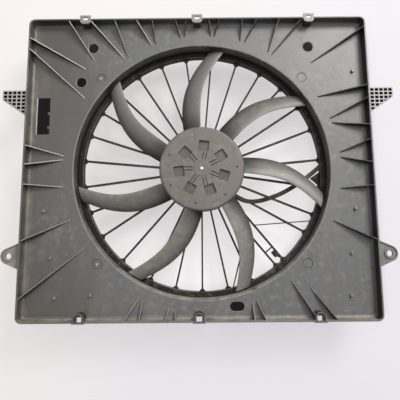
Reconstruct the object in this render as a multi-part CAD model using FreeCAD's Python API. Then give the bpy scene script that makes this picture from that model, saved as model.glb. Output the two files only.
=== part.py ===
import FreeCAD, Part
import math
import os

# Radiator cooling fan: a moulded shroud that carries one electric fan, as it stands in a car.
# Millimetres. X runs to the right and Z up as seen from the radiator, and Y runs with the
# air, towards the engine. The origin is midway between the two ear bolts, on the front face
# of the ears, which seats on the radiator.

os.makedirs("parts", exist_ok=True)

# Pan of the shroud: plate, wall round its edge, and the ears that it hangs by
pan_width = 653.0
pan_height = 573.0
pan_depth = 20.0
pan_wall = 2.5
plate_wall = 2.5
pan_corner_r = 11.0
pan_fillet_r = 6.0
ear_bolt_spacing = 697.0
ear_setback = 10.0
ear_drop = 169.0
ear_hole_r = 5.5
ear_boss_r = 9.5
ear_tip_r = 14.5
ear_root_length = 51.0
ear_thickness = 5.0
ear_web = 2.8
ear_lip = 2.2

# Gusset ribs on the plate: each row gives the place along its wall and the angle, seen from
# the fan's axis, of its inner end
rib_wall = 2.0
rib_front_gap = 1.0
rib_tip_height = 0.8
rib_circle_r = 265.0
corner_rib_circle_r = 299.5
top_ribs = [(-209, 124.5), (-161, 122.7), (-119, 111.5), (-88, 109.7), (-43, 98.7), (-22, 97.0),
            (23, 85.7), (43, 84.2), (88, 72.9), (117, 70.9), (160, 60.0), (205, 58.1)]
right_ribs = [(149, 31.3), (125, 20.7), (71, 18.8), (44, 5.9), (-1, 3.9), (-44, -9.1), (-144, -22.7)]
bottom_ribs = [(212, -52.5), (120, -68.5), (99, -70.0), (-107, -114.4), (-135, -115.9), (-61, -103.5),
               (-42, -101.2)]
left_ribs = [(228, 148.6), (37, 174.7), (0, 176.3), (-37, -172.3), (-142, -158.5), (-246, -145.6)]
top_corner_ribs = [(-251, 134.3)]
right_corner_ribs = [(268, 43.7)]
bottom_corner_ribs = [(246, -48.8)]
left_corner_ribs = [(250, 138.8)]

# Features of the plate, as places from the pan's centre
round_hole_r = 10.0
round_hole_places = [(-205.5, 235.2), (-227.4, 165.1), (218.6, 234.2)]
wire_slot_place = (-299.2, 97.7)
wire_slot_width = 24.8
wire_slot_height = 73.6
wire_slot_corner_r = 2.0
wire_slot_tab = 4.0
wire_slot_tab_heights = [-22.8, 5.1]
oval_hole_place = (69.3, -262.7)
oval_hole_width = 26.5
oval_hole_height = 17.0
gate_mark_r = 9.5
gate_mark_depth = 0.6
gate_mark_angles = [137.7, 42.0, -137.4, -42.9]
peg_r = 3.0
peg_height = 5.0
peg_round_r = 1.2
peg_places = [(-289.6, -86.7), (-274.0, -173.6), (-263.9, -245.7), (-198.4, -241.1),
              (303.3, 182.2), (294.1, -86.4), (282.3, -168.2), (277.5, -244.6)]

# Tabs that snap to the radiator
upper_tab_spacing = 217.5
upper_tab_width = 20.7
upper_tab_rise = 7.0
upper_tab_reach = 10.0
upper_tab_thickness = 3.0
upper_tab_window_width = 9.0
upper_tab_window_height = 6.5
upper_tab_corner_r = 7.0
lower_tab_spacing = 215.0
lower_tab_width = 20.0
lower_tab_reach = 16.5
lower_tab_wall = 2.4
lower_tab_drop = 1.5
lower_tab_recess = 4.0
lower_tab_face = 2.5
lower_tab_window_width = 10.6
lower_tab_window_height = 8.8
lower_tab_sill = 2.6
lower_tab_foot = 1.5

# Open grid wings beside the pan
wing_reach = 45.3
wing_top = 143.5
wing_outer_height = 19.0
wing_inner_height = 50.5
wing_front_gap = 3.0
wing_thickness = 18.0
wing_rib = 2.2
wing_columns = 5
wing_row_pitch = 7.4
wing_round_r = 7.0

# Duct that the blade tips run in
fan_offset_x = 7.0
fan_offset_z = -6.0
duct_r = 243.5
duct_wall = 2.5
bell_back_r = 0.8
duct_length = 32.0
duct_step_reach = 8.5
rear_ring_wall = 3.0
rear_ring_setback = 4.5

# Arms behind the fan: angles anticlockwise from the right-hand side
strut_width = 3.2
strut_depth = 12.0
strut_gap = 5.0
strut_foot_width = 11.0
strut_foot_height = 3.5
strut_foot_inset = 1.2
strut_overrun = 4.0
strut_taper = 30.0
strut_count_even = 16
strut_step = 360.0 / 28
strut_first = 20.4
strut_odd_angles = [228.5, 244.5, 257.1, 269.8, 282.0, 293.5, 337.8, 351.4, 5.0]
leaning_strut_outer = 328.4
leaning_strut_inner = 323.5
pair_angle = 309.5
pair_spacing = 18.4
brace_width = 2.0
brace_depth = 7.0
brace_inset = 85.0
brace_min_volume = 50.0
brace_spread = 25.3
crossbar_inset = 31.0
clip_inset = 24.0
clip_length = 12.0
clip_height = 7.5
clip_hook_length = 4.5
clip_hook_height = 2.4
guide_reach = 18.0
guide_start_angle = -8.2
guide_end_angle = -0.6
guide_thickness = 3.0

# Hub of the fan
hub_r = 82.5
hub_recess = 8.0
hub_depth = 26.0
hub_wall = 2.5
hub_face = 3.0
hub_round_r = 5.0
hub_boss_r = 16.0
hub_boss_rise = 1.0
hub_window = 20.5
hub_window_corner_r = 2.5
hub_window_r = 44.5
hub_window_first = 84.8
hub_window_count = 7
hub_slot_width = 1.8
hub_slot_spread = 5.8
hub_slot_start_r = 18.0
hub_slot_lag = 7.0
hub_vent_r = 68.0
hub_vent_hole_r = 1.6
hub_vent_lead = 20.5
hub_rib_count = 14
hub_rib_wall = 1.8
hub_rib_depth = 16.0
hub_rib_room = 1.5
hub_bush_r = 9.0
hub_bush_cover = 3.0
hub_bore_room = 0.3

# Blades: five places of the tips, anticlockwise from the right. The other two balance them.
tip_gap = 3.5
blade_tip_places = [82.4, 34.4, -15.4, -72.0, -122.3]
blade_stations = [74.0, 100.0, 130.0, 160.0, 190.0, 218.0, 247.0]
blade_sweep = [21.6, 19.0, 16.3, 12.85, 8.3, 3.6, -1.1]
blade_chord = [41.8, 43.4, 42.8, 40.0, 37.0, 33.4, 27.0]
blade_pitch = [36.0, 33.0, 29.2, 25.5, 22.1, 18.8, 15.0]
blade_middle_y = [13.6, 13.4, 13.0, 12.4, 11.6, 10.8, 10.0]
blade_thickness_root = 3.4
blade_thickness_tip = 2.2
blade_camber = 0.075
blade_edge = 0.7
blade_steps = [1.0, 0.8, 0.55, 0.3, 0.12, 0.03]

# Motor
shaft_r = 4.0
shaft_proud = 1.0
bearing_clearance = 0.03
bearing_r = 11.0
bearing_width = 7.0
bearing_tube_wall = 4.0
bearing_shoulder = 2.5
bearing_groove = 1.6
bearing_groove_depth = 0.6
bearing_room = 0.5
rotor_r = 62.0
rotor_wall = 2.0
rotor_depth = 23.0
rotor_vent_r = 7.5
rotor_vent_count = 7
rotor_vent_circle_r = 39.3
rotor_collar_r = 9.5
rotor_collar_length = 5.5
rotor_seat = 2.0
magnet_thickness = 2.5
magnet_count = 10
magnet_gap_angle = 5.0
magnet_setback = 1.0
air_gap = 0.7
stator_teeth = 12
stator_width = 14.0
stator_yoke_r = 26.0
stator_tooth_width = 8.0
stator_shoe = 4.0
stator_shoe_gap_angle = 5.0
stator_room = 1.5
coil_thickness = 2.6
coil_start_r = 32.0
coil_end_r = 50.0
ring_bore_r = 61.0
ring_outer_r = 75.0
pot_r = 62.0
pot_wall = 4.0
pot_depth = 19.0
flange_r = 74.0
flange_thickness = 4.0
spigot_clearance = 0.5
spigot_length = 9.0
partition = 3.0
pillar_r = 4.5
pillar_circle_r = 52.0
pillar_first = 20.0
pillar_count = 4
board_r = 45.0
board_thickness = 1.6
board_post_r = 3.0
board_post_height = 9.0
board_post_circle_r = 38.0
board_post_count = 3
capacitor_r = 6.0
capacitor_height = 13.0
capacitor_circle_r = 24.0
capacitor_edge = 1.0
capacitor_count = 3
cover_thickness = 3.0
fin_count = 9
fin_wall = 2.2
fin_height = 7.0
fin_pitch = 12.0
fin_inset = 2.0
screw_well_room = 1.0
motor_screw_r = 2.5
motor_screw_circle_r = 68.0
motor_screw_head_r = 5.0
motor_screw_head = 4.0
motor_screw_count = 3
motor_screw_first = 60.0
cover_screw_r = 2.0
cover_screw_head_r = 3.8
cover_screw_head = 2.6
screw_engagement = 8.0
screw_clearance = 0.25

# Cable from the motor to its plug behind the plate. The route is seen from the fan's axis:
# right of it, towards the engine, and above it.
cable_r = 4.5
grommet_angle = -36.0
grommet_r = 7.5
grommet_length = 12.0
grommet_hold = 4.0
grommet_collar = 1.5
cable_first_run = 20.0
cable_last_run = 20.0
cable_route = [(95.2, 73.5, -61.1), (115.2, 71.8, -60.2), (136.0, 69.8, -54.8), (160.0, 68.0, -46.0),
               (184.0, 66.8, -33.0), (206.0, 66.3, -18.5), (228.0, 66.3, -1.5), (246.0, 66.0, 14.0),
               (261.0, 61.0, 31.0), (272.0, 51.5, 50.0), (278.5, 40.5, 70.0), (280.8, 31.0, 91.0)]
plug_x = 281.0
plug_z = 160.0
plug_width = 34.0
plug_thickness = 22.0
plug_length = 42.0
plug_collar = 9.0
plug_corner_r = 3.0
plug_wall = 4.0
plug_collar_wall = 2.5
bracket_thickness = 3.5
bracket_side = 2.0
bracket_inset = 4.0

# Stations along the air's path, measured from the front face of the ears
pan_front_y = -ear_setback
plate_front_y = pan_front_y + pan_depth
plate_back_y = plate_front_y + plate_wall
duct_back_y = plate_front_y + duct_length
rear_ring_r = duct_r - duct_step_reach
bell_r = bell_back_r + duct_wall
hub_front_y = plate_front_y + hub_recess
hub_back_y = hub_front_y + hub_depth
strut_front_y = hub_back_y + strut_gap
strut_back_y = strut_front_y + strut_depth
rear_ring_back_y = strut_back_y - rear_ring_setback
rotor_front_y = hub_front_y + hub_face + rotor_seat
rotor_back_y = rotor_front_y + rotor_depth
spigot_front_y = strut_back_y - spigot_length
flange_back_y = strut_back_y + flange_thickness
pot_back_y = flange_back_y + pot_depth
cover_back_y = pot_back_y + cover_thickness
front_bearing_y = rotor_front_y + rotor_collar_length + bearing_room
rear_bearing_y = spigot_front_y - bearing_width
shaft_back_y = spigot_front_y - bearing_room
stator_front_y = front_bearing_y + stator_room
fan_x = fan_offset_x
fan_z = ear_drop + fan_offset_z
pan_z = ear_drop
axis_dir = FreeCAD.Vector(0, 1, 0)


def save(shape, node):
    shape.exportStep("parts/" + node + ".step")


def join(shapes):
    first = shapes[0]
    return first.multiFuse(shapes[1:]).removeSplitter() if len(shapes) > 1 else first


def group(shapes):
    return Part.makeCompound(shapes)


def on_axis(y):
    return FreeCAD.Vector(fan_x, y, fan_z)


def turned_about_fan(shape, angle):
    """A copy turned anticlockwise about the fan's axis, as seen from the radiator."""
    copy = shape.copy()
    copy.rotate(on_axis(0), FreeCAD.Vector(0, -1, 0), angle)
    return copy


def disc(radius, y_front, y_back):
    return Part.makeCylinder(radius, y_back - y_front, on_axis(y_front), axis_dir)


def ring(inner_r, outer_r, y_front, y_back):
    return disc(outer_r, y_front, y_back).cut(disc(inner_r, y_front, y_back))


def rod(radius, x, z, y_front, y_back):
    return Part.makeCylinder(radius, y_back - y_front, FreeCAD.Vector(x, y_front, z), axis_dir)


def polar(radius, angle):
    """Point at this radius and angle about the fan's axis, as x and z."""
    turn = math.radians(angle)
    return fan_x + radius * math.cos(turn), fan_z + radius * math.sin(turn)


def box(x_low, x_high, y_low, y_high, z_low, z_high):
    corner = FreeCAD.Vector(x_low, y_low, z_low)
    return Part.makeBox(x_high - x_low, y_high - y_low, z_high - z_low, corner)


def prism(outline, y_front, y_back):
    """Solid of a closed outline of x and z points, between two stations."""
    points = [FreeCAD.Vector(x, y_front, z) for x, z in outline]
    face = Part.Face(Part.makePolygon(points + points[:1]))
    return face.extrude(FreeCAD.Vector(0, y_back - y_front, 0))


def rounded_box(x_middle, z_middle, width, height, corner_r, y_front, y_back):
    half_w = width / 2
    half_h = height / 2
    blank = box(x_middle - half_w, x_middle + half_w, y_front, y_back, z_middle - half_h, z_middle + half_h)
    upright = [e for e in blank.Edges if abs(e.tangentAt(0).y) > 0.99]
    return blank.makeFillet(corner_r, upright)


def revolved(outline):
    """Solid turned about the fan's axis from a closed outline of radius and station."""
    points = [FreeCAD.Vector(fan_x + r, y, fan_z) for r, y in outline]
    return revolved_wire(Part.makePolygon(points + points[:1]))


def revolved_wire(wire):
    return Part.Face(wire).revolve(on_axis(0), axis_dir, 360)


def radial_bar(width, r_start, r_end, y_front, y_back, angle):
    bar = box(fan_x + r_start, fan_x + r_end, y_front, y_back, fan_z - width / 2, fan_z + width / 2)
    return turned_about_fan(bar, angle)


def edges_at(shape, y):
    """Edges of the shape that lie wholly in the plane at this station."""
    found = []
    for edge in shape.Edges:
        bounds = edge.BoundBox
        if abs(bounds.YMin - y) < 1e-4 and abs(bounds.YMax - y) < 1e-4:
            found.append(edge)
    return found


# Shroud: pan


def upper_tab_centres():
    return [-upper_tab_spacing, 0.0, upper_tab_spacing]


def lower_tab_centres():
    return [-lower_tab_spacing, 0.0, lower_tab_spacing]


def make_panel():
    """Pan with its wall, the fan opening and the holes of the plate."""
    top_z = pan_z + pan_height / 2
    bottom_z = pan_z - pan_height / 2
    pan = rounded_box(0, pan_z, pan_width, pan_height, pan_corner_r, pan_front_y, plate_back_y)
    inner_r = pan_corner_r - pan_wall
    hollow = rounded_box(0, pan_z, pan_width - 2 * pan_wall, pan_height - 2 * pan_wall, inner_r,
                         pan_front_y - 1, plate_front_y)
    fillet_r = min(pan_fillet_r, inner_r - 0.5)
    hollow = hollow.makeFillet(fillet_r, edges_at(hollow, plate_front_y))
    pan = pan.cut(hollow)
    tools = [disc(duct_r + bell_r, pan_front_y, plate_back_y + 1)]
    for x, z in round_hole_places:
        tools.append(rod(round_hole_r, x, pan_z + z, pan_front_y, plate_back_y + 1))
    for angle in gate_mark_angles:
        x, z = polar(rib_circle_r, angle)
        tools.append(rod(gate_mark_r, x, z, plate_front_y - 1, plate_front_y + gate_mark_depth))
    slot_x, slot_z = wire_slot_place
    tools.append(rounded_box(slot_x, pan_z + slot_z, wire_slot_width, wire_slot_height, wire_slot_corner_r,
                             pan_front_y, plate_back_y + 1))
    oval_x, oval_z = oval_hole_place
    tools.append(rounded_box(oval_x, pan_z + oval_z, oval_hole_width, oval_hole_height,
                             oval_hole_height / 2 - 0.01, plate_front_y - 1, plate_back_y + 1))
    for x in upper_tab_centres():
        half = upper_tab_width / 2
        tools.append(box(x - half, x + half, pan_front_y - 1, pan_front_y + upper_tab_thickness,
                         top_z - pan_wall - 1, top_z + 1))
        half = upper_tab_window_width / 2
        tools.append(box(x - half, x + half, pan_front_y - 1, plate_back_y + 1,
                         top_z - upper_tab_window_height / 2, top_z + 1))
    for x in lower_tab_centres():
        half = lower_tab_width / 2
        arch = lower_tab_outline(x, 0)
        tools.append(prism_of_arch(arch, pan_front_y - 1, plate_back_y + 1))
        tools.append(box(x - half, x + half, pan_front_y - 1, plate_back_y + 1,
                         bottom_z - 1, bottom_z + pan_wall + pan_fillet_r))
    pan = pan.cut(tools)
    tabs = []
    slot_edge = slot_x + wire_slot_width / 2
    for rise in wire_slot_tab_heights:
        z = pan_z + slot_z + rise
        tabs.append(box(slot_edge - wire_slot_tab, slot_edge, plate_front_y, plate_back_y,
                        z - wire_slot_tab / 2, z + wire_slot_tab / 2))
    return join([pan] + tabs)


def lower_tab_outline(x, inset):
    """Half width, spring line and foot of the arch at this place, moved in by the inset."""
    foot_z = pan_z - pan_height / 2 - lower_tab_drop
    half = lower_tab_width / 2 - inset
    crown_z = pan_z - pan_height / 2 + lower_tab_reach - inset
    return x, half, crown_z - half, foot_z


def prism_of_arch(outline, y_front, y_back):
    x, half, spring_z, foot_z = outline
    left = FreeCAD.Vector(x - half, y_front, spring_z)
    right = FreeCAD.Vector(x + half, y_front, spring_z)
    crown = FreeCAD.Vector(x, y_front, spring_z + half)
    left_foot = FreeCAD.Vector(x - half, y_front, foot_z)
    right_foot = FreeCAD.Vector(x + half, y_front, foot_z)
    arch = Part.Arc(left, crown, right).toShape()
    corners = [right, right_foot, left_foot, left]
    sides = [Part.makeLine(a, b) for a, b in zip(corners, corners[1:])]
    face = Part.Face(Part.Wire([arch] + sides))
    return face.extrude(FreeCAD.Vector(0, y_back - y_front, 0))


def make_lower_tabs():
    """Arched sockets on the bottom edge: a windowed face set back in the arch, open downwards behind."""
    bottom_z = pan_z - pan_height / 2
    foot_z = bottom_z - lower_tab_drop
    sill_z = foot_z + lower_tab_sill
    face_front_y = pan_front_y + lower_tab_recess
    face_back_y = face_front_y + lower_tab_face
    tabs = []
    for x in lower_tab_centres():
        outer = prism_of_arch(lower_tab_outline(x, 0), pan_front_y, plate_back_y)
        inner = prism_of_arch(lower_tab_outline(x, lower_tab_wall), face_back_y, plate_back_y + 1)
        pocket = prism_of_arch(lower_tab_outline(x, lower_tab_wall), pan_front_y - 1, face_front_y)
        foot_half = lower_tab_width / 2 + lower_tab_foot
        sill = box(x - foot_half, x + foot_half, pan_front_y - 1, face_back_y, foot_z - 1, sill_z)
        foot = box(x - foot_half, x + foot_half, pan_front_y, face_back_y, foot_z, bottom_z)
        half = lower_tab_window_width / 2
        window = box(x - half, x + half, pan_front_y - 1, face_back_y + 1,
                     sill_z, sill_z + lower_tab_window_height)
        tabs.append(join([outer.cut([inner, pocket.cut(sill)]), foot]).cut(window))
    return tabs


def make_upper_tabs(panel):
    """Flat tongues with a window, each on a short boss that meets the wall and the plate."""
    top_z = pan_z + pan_height / 2
    tabs = []
    for x in upper_tab_centres():
        half = upper_tab_width / 2
        low_z = top_z - upper_tab_reach
        tongue = box(x - half, x + half, pan_front_y, pan_front_y + upper_tab_thickness,
                     low_z, top_z + upper_tab_rise)
        lower_edges = [e for e in tongue.Edges
                       if abs(e.tangentAt(0).y) > 0.99 and abs(e.CenterOfMass.z - low_z) < 0.01]
        tongue = tongue.makeFillet(upper_tab_corner_r, lower_edges)
        boss_half = half - upper_tab_corner_r / 2
        boss = box(x - boss_half, x + boss_half, pan_front_y + upper_tab_thickness, plate_front_y,
                   low_z, top_z - pan_wall)
        window_half = upper_tab_window_width / 2
        window = box(x - window_half, x + window_half, pan_front_y - 1, plate_front_y + 1,
                     top_z - upper_tab_window_height / 2, top_z + upper_tab_window_height / 2)
        tabs.append(join([tongue, boss]).cut([window, panel]).Solids[0])
    return tabs


def make_rib(rim_x, rim_z, angle, circle_r):
    """Wedge that stands on the plate, from its wall in to the circle round the fan."""
    inner_x, inner_z = polar(circle_r, angle)
    run_x = rim_x - inner_x
    run_z = rim_z - inner_z
    length = math.hypot(run_x, run_z)
    side = [(0, plate_front_y), (0, plate_front_y - rib_tip_height),
            (length, pan_front_y + rib_front_gap), (length, plate_front_y)]
    points = [FreeCAD.Vector(s, y, -rib_wall / 2) for s, y in side]
    wedge = Part.Face(Part.makePolygon(points + points[:1])).extrude(FreeCAD.Vector(0, 0, rib_wall))
    wedge.rotate(FreeCAD.Vector(0, 0, 0), FreeCAD.Vector(0, -1, 0), math.degrees(math.atan2(run_z, run_x)))
    wedge.translate(FreeCAD.Vector(inner_x, 0, inner_z))
    return wedge


def make_ribs(neighbours):
    """All gussets, trimmed where they meet the pan and the tabs."""
    side_x = pan_width / 2 - pan_wall / 2
    end_z = pan_height / 2 - pan_wall / 2
    wedges = []
    for rows, circle_r in ((top_ribs, rib_circle_r), (top_corner_ribs, corner_rib_circle_r)):
        wedges += [make_rib(x, pan_z + end_z, angle, circle_r) for x, angle in rows]
    for rows, circle_r in ((bottom_ribs, rib_circle_r), (bottom_corner_ribs, corner_rib_circle_r)):
        wedges += [make_rib(x, pan_z - end_z, angle, circle_r) for x, angle in rows]
    for rows, circle_r in ((right_ribs, rib_circle_r), (right_corner_ribs, corner_rib_circle_r)):
        wedges += [make_rib(side_x, pan_z + z, angle, circle_r) for z, angle in rows]
    for rows, circle_r in ((left_ribs, rib_circle_r), (left_corner_ribs, corner_rib_circle_r)):
        wedges += [make_rib(-side_x, pan_z + z, angle, circle_r) for z, angle in rows]
    trimmed = []
    for wedge in wedges:
        pieces = wedge.cut(neighbours).Solids
        trimmed.append(max(pieces, key=lambda piece: piece.Volume))
    return trimmed


def make_pegs():
    pegs = []
    for x, z in peg_places:
        peg = rod(peg_r, x, pan_z + z, plate_front_y - peg_height, plate_front_y)
        pegs.append(peg.makeFillet(peg_round_r, edges_at(peg, plate_front_y - peg_height)))
    return pegs


def make_ear(side):
    """Bolt ear on one side of the pan: recessed web, raised lip and boss round the bolt hole."""
    hole_x = side * ear_bolt_spacing / 2
    wall_x = side * pan_width / 2
    half = ear_root_length / 2

    def outline(inset, y_front, y_back):
        root = [(wall_x, -half + inset), (wall_x, half - inset)]
        tip_r = ear_tip_r - inset
        slope = math.atan2(half - ear_tip_r, abs(hole_x - wall_x))
        touch_x = hole_x + side * tip_r * math.sin(slope)
        touch_z = tip_r * math.cos(slope)
        far = FreeCAD.Vector(hole_x + side * tip_r, y_front, 0)
        upper = FreeCAD.Vector(touch_x, y_front, touch_z)
        lower = FreeCAD.Vector(touch_x, y_front, -touch_z)
        root_low = FreeCAD.Vector(root[0][0], y_front, root[0][1])
        root_high = FreeCAD.Vector(root[1][0], y_front, root[1][1])
        lines = [Part.Arc(upper, far, lower).toShape(), Part.makeLine(lower, root_low),
                 Part.makeLine(root_low, root_high), Part.makeLine(root_high, upper)]
        return Part.Face(Part.Wire(lines)).extrude(FreeCAD.Vector(0, y_back - y_front, 0))

    plate = outline(0, 0, ear_thickness)
    recess = outline(ear_lip, -1, ear_thickness - ear_web)
    boss = rod(ear_boss_r, hole_x, 0, -1, ear_thickness)
    ear = plate.cut(recess.cut(boss))
    return ear.cut(rod(ear_hole_r, hole_x, 0, -2, ear_thickness + 2))


def make_wing(side):
    """Open grid of square cells that fills the gap beside the radiator."""
    root_x = side * pan_width / 2
    tip_x = root_x + side * wing_reach
    top_z = pan_z + wing_top
    front_y = pan_front_y + wing_front_gap
    back_y = front_y + wing_thickness
    outline = [(root_x, top_z), (tip_x, top_z), (tip_x, top_z - wing_outer_height),
               (root_x, top_z - wing_inner_height)]
    blank = prism(outline, front_y, back_y)
    tip_edges = [e for e in blank.Edges
                 if abs(e.tangentAt(0).y) > 0.99 and abs(e.CenterOfMass.x - tip_x) < 0.01
                 and e.CenterOfMass.z < top_z - 1]
    blank = blank.makeFillet(wing_round_r, tip_edges)
    slope = (wing_inner_height - wing_outer_height) / wing_reach
    lean = wing_rib * math.hypot(1, slope)
    inner = [(root_x + side * wing_rib, top_z - wing_rib), (tip_x - side * wing_rib, top_z - wing_rib),
             (tip_x - side * wing_rib, top_z - wing_outer_height + lean - slope * wing_rib),
             (root_x + side * wing_rib, top_z - wing_inner_height + lean + slope * wing_rib)]
    window = prism(inner, front_y - 1, back_y + 1)
    inner_edges = [e for e in window.Edges
                   if abs(e.tangentAt(0).y) > 0.99 and abs(e.CenterOfMass.x - inner[1][0]) < 0.01
                   and e.CenterOfMass.z < top_z - wing_rib - 1]
    window = window.makeFillet(max(wing_round_r - wing_rib, 0.5), inner_edges)
    bars = []
    half = wing_rib / 2
    column_pitch = (wing_reach - wing_rib) / wing_columns
    for k in range(1, wing_columns):
        x = root_x + side * (half + column_pitch * k)
        bars.append(box(x - half, x + half, front_y - 2, back_y + 2, top_z - wing_inner_height, top_z))
    for k in range(1, int((wing_inner_height - wing_rib) / wing_row_pitch) + 1):
        z = top_z - half - wing_row_pitch * k
        bars.append(box(min(root_x, tip_x), max(root_x, tip_x), front_y - 2, back_y + 2,
                        z - half, z + half))
    return blank.cut(window.cut(bars))


# Shroud: duct, arms and motor ring


def make_duct():
    """Bell mouth and the duct wall that the blade tips run in, turned in one profile."""
    def at(r, y):
        return FreeCAD.Vector(fan_x + r, y, fan_z)

    mouth_r = duct_r + bell_r
    centre_y = plate_front_y + bell_r
    half = math.sqrt(0.5)
    mouth = at(mouth_r, plate_front_y)
    throat = at(duct_r, centre_y)
    inner_arc = Part.Arc(mouth, at(mouth_r - bell_r * half, centre_y - bell_r * half), throat).toShape()
    outer_throat = at(duct_r + duct_wall, centre_y)
    outer_mouth = at(mouth_r, centre_y - bell_back_r)
    outer_arc = Part.Arc(outer_throat, at(mouth_r - bell_back_r * half, centre_y - bell_back_r * half),
                         outer_mouth).toShape()
    corners = [throat, at(duct_r, duct_back_y), at(duct_r + duct_wall, duct_back_y), outer_throat]
    lines = [Part.makeLine(a, b) for a, b in zip(corners, corners[1:])]
    return revolved_wire(Part.Wire([inner_arc] + lines + [outer_arc, Part.makeLine(outer_mouth, mouth)]))


def make_duct_step():
    """Flat ring that narrows the duct behind the blade tips."""
    return ring(rear_ring_r, duct_r + duct_wall, duct_back_y, duct_back_y + duct_wall)


def make_rear_ring():
    """Narrow ring behind the step. The arms' feet stand on its inside."""
    return ring(rear_ring_r, rear_ring_r + rear_ring_wall, duct_back_y + duct_wall, rear_ring_back_y)


def strut_space(front_y):
    """Room between the motor ring and the rear ring. Its sloped back tapers the arms' outer ends."""
    return revolved([(ring_outer_r, front_y), (rear_ring_r, front_y), (rear_ring_r, rear_ring_back_y),
                     (rear_ring_r - strut_taper, strut_back_y), (ring_outer_r, strut_back_y)])


def make_arm(start, end):
    """Arm between two places, with a flared foot at its outer end."""
    run_x = end[0] - start[0]
    run_z = end[1] - start[1]
    length = math.hypot(run_x, run_z)
    half = strut_width / 2
    foot = strut_foot_width / 2
    extra = foot * foot / rear_ring_r + 2
    neck = length - strut_foot_height
    outline = [(-strut_overrun, -half), (neck, -half), (length, -foot), (length + extra, -foot),
               (length + extra, foot), (length, foot), (neck, half), (-strut_overrun, half)]
    arm = prism(outline, strut_front_y, strut_back_y)
    arm.rotate(FreeCAD.Vector(0, 0, 0), FreeCAD.Vector(0, -1, 0), math.degrees(math.atan2(run_z, run_x)))
    arm.translate(FreeCAD.Vector(start[0], 0, start[1]))
    return arm


def pair_point(along, across):
    """Place at this distance out along the strut pair's line and across it, upwards to the right."""
    turn = math.radians(pair_angle)
    x = fan_x + along * math.cos(turn) - across * math.sin(turn)
    z = fan_z + along * math.sin(turn) + across * math.cos(turn)
    return x, z


def make_struts():
    """All arms behind the fan, as separate bars."""
    foot_r = rear_ring_r - strut_foot_inset
    angles = [strut_first + strut_step * k for k in range(strut_count_even)] + strut_odd_angles
    arms = [make_arm(polar(ring_outer_r, angle), polar(foot_r, angle)) for angle in angles]
    arms.append(make_arm(polar(ring_outer_r, leaning_strut_inner), polar(foot_r, leaning_strut_outer)))
    half = pair_spacing / 2
    for side in (-half, half):
        inner = math.sqrt(ring_outer_r ** 2 - half ** 2)
        outer = math.sqrt(foot_r ** 2 - half ** 2)
        arms.append(make_arm(pair_point(inner, side), pair_point(outer, side)))
    space = strut_space(strut_front_y)
    return [arm.common(space).Solids[0] for arm in arms]


def pair_block(along_low, along_high, across_low, across_high, y_front, y_back):
    """Box in line with the strut pair."""
    block = box(fan_x + along_low, fan_x + along_high, y_front, y_back,
                fan_z + across_low, fan_z + across_high)
    return turned_about_fan(block, pair_angle)


def make_braces(struts):
    """Two slanting stays and the crossbar of the pair, cut where they meet the arms."""
    pieces = []
    half = pair_spacing / 2 + strut_width / 2
    front_y = strut_back_y - brace_depth
    space = strut_space(front_y)
    for side in (-1, 1):
        start_x, start_z = pair_point(rear_ring_r - brace_inset, side * half)
        end_x, end_z = polar(rear_ring_r + rear_ring_wall, pair_angle + side * brace_spread)
        length = math.hypot(end_x - start_x, end_z - start_z)
        stay = box(-3, length, front_y, strut_back_y, -brace_width / 2, brace_width / 2)
        turn = math.degrees(math.atan2(end_z - start_z, end_x - start_x))
        stay.rotate(FreeCAD.Vector(0, 0, 0), FreeCAD.Vector(0, -1, 0), turn)
        stay.translate(FreeCAD.Vector(start_x, 0, start_z))
        trimmed = stay.common(space).cut(struts)
        pieces += [piece for piece in trimmed.Solids if piece.Volume > brace_min_volume]
    gap = pair_spacing / 2 - strut_width / 2
    bar_r = rear_ring_r - crossbar_inset
    pieces.append(pair_block(bar_r - brace_width / 2, bar_r + brace_width / 2, -gap, gap,
                             front_y, strut_back_y))
    return pieces


def make_cable_clip(struts):
    """Square clip block on the inner side of the upper arm of the pair, with a hooked end."""
    top = pair_spacing / 2 - strut_width / 2
    clip_start = rear_ring_r - clip_inset
    clip_end = clip_start + clip_length
    block = pair_block(clip_start, clip_end, top - clip_height, top, strut_front_y, strut_back_y)
    hook = pair_block(clip_end, clip_end + clip_hook_length, top - clip_hook_height, top,
                      strut_front_y, strut_back_y)
    return join([block, hook]).cut(struts).Solids[0]


def make_cable_guide(struts):
    """Small web inside the rear ring. The motor cable crosses just behind it."""
    corner = polar(rear_ring_r - guide_reach, (guide_start_angle + guide_end_angle) / 2)
    outer_r = rear_ring_r + rear_ring_wall
    outline = [corner, polar(outer_r, guide_start_angle), polar(outer_r, guide_end_angle)]
    web = prism(outline, rear_ring_back_y - guide_thickness, rear_ring_back_y)
    return web.common(strut_space(strut_front_y)).cut(struts).Solids[0]


def screw_places(count, first, circle_r):
    return [polar(circle_r, first + 360.0 / count * k) for k in range(count)]


def make_motor_ring():
    body = ring(ring_bore_r, ring_outer_r, strut_front_y, strut_back_y)
    places = screw_places(motor_screw_count, motor_screw_first, motor_screw_circle_r)
    return body.cut([rod(motor_screw_r, x, z, strut_back_y - screw_engagement, strut_back_y + 1)
                     for x, z in places])


# Fan


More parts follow.
